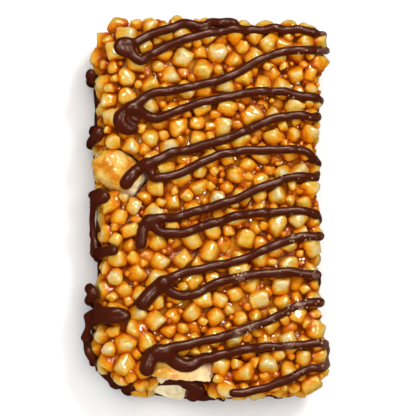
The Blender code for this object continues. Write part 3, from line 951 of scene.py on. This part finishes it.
def nut_points(name, nut, directions):
    """A kernel's surface, cut back to a rough break, and how far each point is broken flesh."""
    power, unevenness, cream_way, (cream_start, cream_end), palest, cut_back = NUT_FORMS[name]
    blocky = directions / (np.abs(directions) ** power).sum(1, keepdims=True) ** (1 / power)
    local = blocky * np.array(nut["half_size"])
    local = local * (1 + unevenness * layered_lumps(local, NUT_RELIEF))[:, None]
    point, normal = nut["broken_face"]
    normal = np.array(normal.normalized())
    past = (local - np.array(point)) @ normal
    rough = layered_lumps(local, NUT_BREAK) - cut_back * MM
    broken = past > rough
    local = local - np.where(broken, past - rough, 0)[:, None] * normal
    along = local @ np.array(cream_way) / MM + layered_lumps(local, CREAM_UNEVEN)
    cream = np.clip((along - cream_start) / (cream_end - cream_start), 0, 1)
    place = np.array(nut_frame(nut))
    return local @ place[:3, :3].T + place[:3, 3], palest * np.maximum(cream, broken)


def node(tree, kind, inputs=None, **settings):
    """Adds a shader node and sets or links its inputs."""
    made = tree.nodes.new(kind)
    for key, value in settings.items():
        setattr(made, key, value)
    for key, value in (inputs or {}).items():
        if isinstance(value, bpy.types.NodeSocket):
            tree.links.new(value, made.inputs[key])
        else:
            made.inputs[key].default_value = value
    return made


def ramp(tree, factor, *stops):
    """A colour ramp: stops are (place, colour)."""
    made = node(tree, "ShaderNodeValToRGB", {"Fac": factor})
    elements = made.color_ramp.elements
    while len(elements) < len(stops):
        elements.new(1)
    for element, (place, colour) in zip(elements, stops):
        element.position, element.color = place, (*colour, 1)
    return made.outputs["Color"]


def number_of(tree, name):
    return node(tree, "ShaderNodeAttribute", attribute_name=name).outputs["Fac"]


def texture(tree, scale, detail=3.0, roughness=0.55, kind="ShaderNodeTexNoise"):
    """Noise over the object's own coordinates; scale is in features a metre."""
    place = node(tree, "ShaderNodeTexCoord").outputs["Object"]
    inputs = {"Vector": place, "Scale": scale, "Detail": detail, "Roughness": roughness}
    return node(tree, kind, inputs).outputs[0]


def math_node(tree, operation, a, b=0.5, clamp=False):
    made = node(tree, "ShaderNodeMath", {0: a, 1: b}, operation=operation, use_clamp=clamp)
    return made.outputs[0]


def mixed(tree, factor, *colours):
    """The colour between two, each of them a colour or another node's output."""
    first, second = (c if isinstance(c, bpy.types.NodeSocket) else (*c, 1) for c in colours)
    inputs = {0: factor, 6: first, 7: second}
    return node(tree, "ShaderNodeMix", inputs, data_type="RGBA").outputs[2]


def bumped(tree, shader, socket, height, strength, distance):
    bump = node(tree, "ShaderNodeBump", {"Height": height, "Strength": strength, "Distance": distance})
    tree.links.new(bump.outputs["Normal"], shader.inputs[socket])


def material(name, **inputs):
    """A material and its tree and shader, with the shader's own numbers and colours set."""
    made = bpy.data.materials.new(name)
    made.use_nodes = True
    shader = made.node_tree.nodes["Principled BSDF"]
    shader.inputs["Subsurface Scale"].default_value = 1 * MM
    for key, value in inputs.items():
        shader.inputs[key.replace("_", " ")].default_value = value
    return made, made.node_tree, shader


# Colours, in linear light: crisps from bare ones to those deep in syrup, darker along the ramp
# partly as painted shade, with the places of each in the ramp, then the near-black painted
# shade of the deepest crevices, then chocolate, crumbs and nuts
CRISP_COLOURS = (
    (0.10, (0.66, 0.51, 0.25)),
    (0.31, (0.70, 0.42, 0.06)),
    (0.50, (0.72, 0.29, 0.007)),
    (0.74, (0.66, 0.17, 0.001)),
    (1.0, (0.38, 0.057, 0.0004)),
)
# Painted shade: the near-black brown that crisps and syrup turn to deep in the crevices
CREVICE_SHADE = (0.02, 0.001, 0.0002)
CHOCOLATE_COLOURS = (0.050, 0.0065, 0.002), (0.070, 0.010, 0.003)
CHOCOLATE_BLOOM = (0.24, 0.13, 0.09)
CRUMB_COLOURS = (0.22, 0.10, 0.05), (0.55, 0.34, 0.16)
NUT_SKIN = (0.42, (0.62, 0.20, 0.004)), (0.52, (0.74, 0.40, 0.05)), (0.66, (0.80, 0.54, 0.17))
NUT_FLESH = (0.86, 0.70, 0.38), (0.92, 0.82, 0.58)
FLOOR_COLOUR = (0.96, 0.96, 0.96, 1)

# How much the underside of a crisp, near crisps, noise, its tone and its depth glaze it and so
# darken it; the shares of the underside, near crisps and depth are partly painted shade
UNDERSIDE_GLAZE_AND_SHADE = 0.4
GLAZE_AND_SHADE_SHARES = (0.7, 0.9, -0.3, 1.6)
GLAZE_AND_SHADE_SCALE = 0.7


def crisp_material():
    """Pale gold where a crisp stands free and amber where syrup lies, with painted shade: darker
    on sides that face into the block, near other crisps and deep down, and near black in the
    deepest crevices.
    """
    made, tree, shader = material(
        "crisp",
        Roughness=0.5,
        Coat_Weight=0.8,
        Coat_Roughness=0.03,
        Subsurface_Weight=0.4,
        Subsurface_Radius=(1, 0.45, 0.1),
        Specular_IOR_Level=0.1,
        Specular_Tint=(1, 0.7, 0.3, 1),
    )
    # partly painted shade: sides facing into the block, places near other crisps and deep places glaze
    # darker
    under = math_node(tree, "SUBTRACT", 1.0, number_of(tree, "facing"))
    glaze_and_shade = math_node(tree, "MULTIPLY", under, UNDERSIDE_GLAZE_AND_SHADE)
    sunk = number_of(tree, "depth")
    parts = (number_of(tree, "near"), texture(tree, 600, 3), number_of(tree, "tone"), sunk)
    for value, share in zip(parts, GLAZE_AND_SHADE_SHARES):
        glaze_and_shade = math_node(tree, "ADD", glaze_and_shade, math_node(tree, "MULTIPLY", value, share))
    colour = ramp(tree, math_node(tree, "MULTIPLY", glaze_and_shade, GLAZE_AND_SHADE_SCALE), *CRISP_COLOURS)
    # painted shade: darker towards near black the deeper the surface lies under the crisps' smoothed surface
    shaded = mixed(tree, ramp_value(tree, sunk, 0.08, 0.32), colour, CREVICE_SHADE)
    tree.links.new(shaded, shader.inputs["Base Color"])
    bumped(tree, shader, "Normal", texture(tree, 900, 2, 0.5), 0.8, 0.4 * MM)
    bumped(tree, shader, "Coat Normal", texture(tree, 560, 0), 1.0, 0.2 * MM)
    return made


def ramp_value(tree, value, low, high):
    made = node(tree, "ShaderNodeMapRange", {"Value": value, "From Min": low, "From Max": high})
    made.interpolation_type = "SMOOTHSTEP"
    return made.outputs["Result"]


def chocolate_material():
    made, tree, shader = material(
        "chocolate",
        Roughness=0.3,
        Coat_Weight=0.03,
        Coat_Roughness=0.15,
        Specular_IOR_Level=0.16,
        Specular_Tint=(1, 0.75, 0.65, 1),
    )
    colour = mixed(tree, texture(tree, 500, 4), *CHOCOLATE_COLOURS)
    patches = math_node(tree, "ADD", number_of(tree, "bloom"), texture(tree, 900, 3, 0.7))
    bloom = ramp_value(tree, patches, 0.75, 1.25)
    colour = mixed(tree, bloom, colour, CHOCOLATE_BLOOM)
    tree.links.new(colour, shader.inputs["Base Color"])
    bumped(tree, shader, "Normal", texture(tree, 700, 3), 0.25, 0.15 * MM)
    return made


def crumb_material():
    made, tree, shader = material(
        "crumb", Roughness=0.6, Coat_Roughness=0.1, Subsurface_Weight=0.2, Subsurface_Radius=(1, 0.5, 0.2)
    )
    colour = mixed(tree, texture(tree, 300, 1), *CRUMB_COLOURS)
    tree.links.new(colour, shader.inputs["Base Color"])
    return made


def nut_material():
    made, tree, shader = material(
        "nut",
        Roughness=0.5,
        Coat_Roughness=0.06,
        Subsurface_Weight=0.3,
        Subsurface_Radius=(1, 0.5, 0.2),
        Specular_IOR_Level=0.2,
        Specular_Tint=(1, 0.8, 0.5, 1),
    )
    cream = number_of(tree, "cream")
    skin = ramp(tree, texture(tree, 260, 4), *NUT_SKIN)
    flesh = mixed(tree, texture(tree, 900, 4), *NUT_FLESH)
    tree.links.new(mixed(tree, cream, skin, flesh), shader.inputs["Base Color"])
    tree.links.new(math_node(tree, "SUBTRACT", 0.5, cream, clamp=True), shader.inputs["Coat Weight"])
    bumped(tree, shader, "Normal", texture(tree, 1100, 4, 0.6), 0.5, 0.3 * MM)
    bumped(tree, shader, "Coat Normal", texture(tree, 400, 0), 1.0, 0.15 * MM)
    return made


# The photo's view: the camera looks down, a little from the left and the front
CAMERA_AZIMUTH = -50
CAMERA_ELEVATION = 78
CAMERA_DISTANCE = 0.55
FRAME_WIDTH = 97.5 * MM
IMAGE_PIXELS = 416
TOP_CENTRE_PIXEL = (214, 202.7)
SENSOR_WIDTH = 36
CLIP_START, CLIP_END = 0.01, 10


def camera():
    azimuth, elevation = math.radians(CAMERA_AZIMUTH), math.radians(CAMERA_ELEVATION)
    back = Vector((
        math.sin(azimuth) * math.cos(elevation),
        -math.cos(azimuth) * math.cos(elevation),
        math.sin(elevation),
    ))
    right = Vector((0, 1, 0)).cross(back).normalized()
    up = back.cross(right)
    pixel = FRAME_WIDTH / IMAGE_PIXELS
    target = Vector((0, 0, BAR_TOP))
    target -= right * (TOP_CENTRE_PIXEL[0] - IMAGE_PIXELS / 2) * pixel
    target += up * (TOP_CENTRE_PIXEL[1] - IMAGE_PIXELS / 2) * pixel
    data = bpy.data.cameras.new("camera")
    data.sensor_width = SENSOR_WIDTH
    data.lens = SENSOR_WIDTH * CAMERA_DISTANCE / FRAME_WIDTH
    data.clip_start, data.clip_end = CLIP_START, CLIP_END
    made = bpy.data.objects.new("camera", data)
    place = Matrix((right, up, back)).transposed().to_4x4()
    place.translation = target + back * CAMERA_DISTANCE
    made.matrix_world = place
    bpy.context.scene.collection.objects.link(made)
    bpy.context.scene.camera = made


# Studio light: name, where it stands, its side, its power in watts, whether it lights matt
# surfaces, and whether it shows in glossy ones
LIGHTS = (
    ("key", (0.20, 0.36, 0.55), 0.16, 2.3, True, True),
    ("window", (0.05, 0.42, 0.48), 0.20, 6.0, False, True),
    ("glint", (-0.22, 0.16, 0.62), 0.10, 2.2, False, True),
    ("spark", (0.30, 0.02, 0.58), 0.10, 2.2, False, True),
    ("top", (-0.10, 0.05, 0.75), 0.60, 3.4, True, False),
    ("left", (-0.50, -0.25, 0.35), 0.40, 1.0, True, False),
    ("front", (0.05, -0.55, 0.35), 0.40, 0.9, True, False),
)
GLOSS_COLOUR = (1, 0.93, 0.8)
WORLD_LIGHT = 0.25
LIGHTS_AIM = Vector((0, 0, 0.01))
FLOOR_HALF = 3


def studio():
    for name, place, side, power, on_matt, in_gloss in LIGHTS:
        data = bpy.data.lights.new(name, "AREA")
        data.size, data.energy = side, power
        data.color = (1, 1, 1) if on_matt else GLOSS_COLOUR
        lamp = bpy.data.objects.new(name, data)
        lamp.location = place
        lamp.visible_diffuse, lamp.visible_glossy = on_matt, in_gloss
        lamp.rotation_euler = (LIGHTS_AIM - Vector(place)).to_track_quat("-Z", "Y").to_euler()
        bpy.context.scene.collection.objects.link(lamp)
    world = bpy.data.worlds.new("studio")
    bpy.context.scene.world = world
    world.use_nodes = True
    world.node_tree.nodes["Background"].inputs["Color"].default_value = (1, 1, 1, 1)
    world.node_tree.nodes["Background"].inputs["Strength"].default_value = WORLD_LIGHT
    world.cycles_visibility.glossy = False
    mesh = bpy.data.meshes.new("floor")
    corners = ((-1, -1), (1, -1), (1, 1), (-1, 1))
    mesh.from_pydata([(FLOOR_HALF * x, FLOOR_HALF * y, 0) for x, y in corners], [], [(0, 1, 2, 3)])
    floor = bpy.data.objects.new("floor", mesh)
    bpy.context.scene.collection.objects.link(floor)
    mesh.materials.append(material("floor", Roughness=0.9, Base_Color=FLOOR_COLOUR)[0])
    floor.visible_glossy = False
    bpy.context.scene.view_settings.view_transform = "Standard"


# Squares along a crisp's side in its mesh; those deep down and the small balls take fewer
CRISP_SQUARES = 6
DEEP_SQUARES = 4
BALL_SQUARES = 3
DEEP_FROM = 1.2 * MM
# how deep under the crisps' smoothed surface a point lies, in this unit, sets the crisps' painted shade
DEPTH_UNIT = 4 * MM

# Scuffed places on the strand, as (x, y) in mm, and how far each reaches
SCUFFS = ((20.0, -23.9), (8.8, -29.3), (5.3, -30.8), (18.2, -33.6), (6.0, -18.0), (24.2, -17.0))
SCUFF_REACH = 3.2 * MM
BLOOM_FROM, BLOOM_REACH = 22.5 * MM, 4.5 * MM
SIDE_BLOOM = 0.5
SCUFF_BLOOM = 0.55
SCUFF_CRUMBS = 1.2

# Crumbs on the chocolate, mostly at its right-hand ends
CRUMB_SEED = 8
CRUMBS = 110
CRUMB_SIZES = (0.25 * MM, 0.75 * MM)
CRUMBS_FROM, CRUMBS_FULL = 12 * MM, 25 * MM


def syruped(points, total, nearest, axes):
    """How much syrup other crisps draw to each point."""
    own = np.exp(-np.maximum(sample(nearest, axes, points), -SYRUP_UNDER) / SYRUP_SPREAD)
    return np.clip(sample(total, axes, points) - own, 0, 1)


def glaze_values(points, facing, tones, total, nearest, surface, axes):
    """The numbers that the material of the crisps and the syrup reads, for its glaze and its
    painted shade.
    """
    return {
        "near": syruped(points, total, nearest, axes),
        "facing": facing,
        "depth": -sample(surface, axes, points) / DEPTH_UNIT,
        "tone": tones,
    }


def crisp_pieces(crisps, total, nearest, surface, axes, paint):
    """One joined mesh for each kind of crisp."""
    for kind in ("cut", "round", "broken", "ball"):
        chosen = [crisp for crisp in crisps if crisp.kind == kind]
        points, faces, centres, tones = [], [], [], []
        for crisp in chosen:
            deep = -bar_distance(crisp.centre) - crisp.size / 2 > DEEP_FROM
            squares = BALL_SQUARES if kind == "ball" else DEEP_SQUARES if deep else CRISP_SQUARES
            directions, quads = cube_sphere(squares)
            faces.append(quads + sum(len(part) for part in points))
            points.append(crisp_points(crisp, directions))
            centres += [crisp.centre] * len(directions)
            tones += [crisp.tone - (kind == "ball")] * len(directions)
        points, centres = np.vstack(points), np.array(centres)
        away = points - centres
        facing = (away * outward(centres)).sum(1) / np.linalg.norm(away, axis=1)
        values = glaze_values(points, facing, tones, total, nearest, surface, axes)
        add_piece(shown("crisps_" + kind, points, np.vstack(faces), values), paint, "crisps", "crisp_block")


def scuffed(points):
    """How scuffed the chocolate is at each point, from 0 to 1."""
    away = [np.linalg.norm(points[:, :2] - np.array(place) * MM, axis=1) for place in SCUFFS]
    return np.clip(1 - np.min(away, axis=0) / SCUFF_REACH, 0, 1)


def crumb_piece(strand):
    """Bits of crisp dust that stick to the strand, given its points."""
    draw = np.random.default_rng(CRUMB_SEED)
    weight = np.clip((strand[:, 0] - CRUMBS_FROM) / (CRUMBS_FULL - CRUMBS_FROM), 0.01, 1)
    weight = 0.5 * weight + SCUFF_CRUMBS * scuffed(strand)
    weight = weight * (strand[:, 2] > BAR_TOP)
    directions, quads = cube_sphere(BALL_SQUARES)
    points = []
    for spot in strand[draw.choice(len(strand), CRUMBS, p=weight / weight.sum())]:
        turn, stretch = draw.uniform(0, 2 * math.pi, 3), draw.uniform(0.5, 1)
        crumb = Crisp(spot, draw.uniform(*CRUMB_SIZES), turn, stretch, "ball", draw)
        points.append(crisp_points(crumb, directions))
    faces = np.vstack([quads + i * len(directions) for i in range(CRUMBS)])
    add_piece(shown("crumbs", np.vstack(points), faces), crumb_material(), "crisps", "crisp_block")


def main():
    camera()
    studio()
    low, high = np.array(CAD_LOW) - GRID_MARGIN, np.array(CAD_HIGH) + GRID_MARGIN
    axes = axes_of(low, high, SYRUP_CELL)
    crisps = all_crisps()
    total, nearest = crisp_fields(axes, crisps)
    grid_points = np.stack(np.meshgrid(*axes, indexing="ij"), -1)
    distance, points, quads = syrup_surface(axes, total, nearest, grid_points)
    surface = np.minimum(distance, nut_distance(grid_points))
    surface = np.minimum(surface, bar_distance(grid_points) + SOLID_DEPTH)
    surface = blurred(surface, DRAPE_BLUR)
    paint = crisp_material()
    crisp_pieces(crisps, total, nearest, surface, axes, paint)
    facing = (slopes_of(points, quads) * outward(points)).sum(1)
    tones = np.zeros(len(points))
    values = glaze_values(points, facing, tones, total, nearest, surface, axes)
    add_piece(shown("syrup", points, quads, values), paint, "crisps", "crisp_block")
    chocolate = chocolate_material()
    points, quads = strand_piece(axes_of(low, high, STRAND_CELL), surface, axes)
    bloom = SIDE_BLOOM * np.clip((points[:, 0] - BLOOM_FROM) / BLOOM_REACH, 0, 1)
    bloom = np.maximum(bloom, SCUFF_BLOOM * scuffed(points))
    strand = shown("chocolate_strand", points, quads, {"bloom": bloom})
    add_piece(strand, chocolate, "chocolate", "crisp_block")
    crumb_piece(points)
    layer = shown("chocolate_layer", *layer_piece(axes, distance, grid_points))
    add_piece(layer, chocolate, "chocolate", "chocolate_base")
    paint = nut_material()
    directions, quads = cube_sphere(NUT_SQUARES)
    for name, nut in NUTS.items():
        points, cream = nut_points(name, nut, directions)
        add_piece(shown(name + "_piece", points, quads, {"cream": cream}), paint, "nut", name)


main()
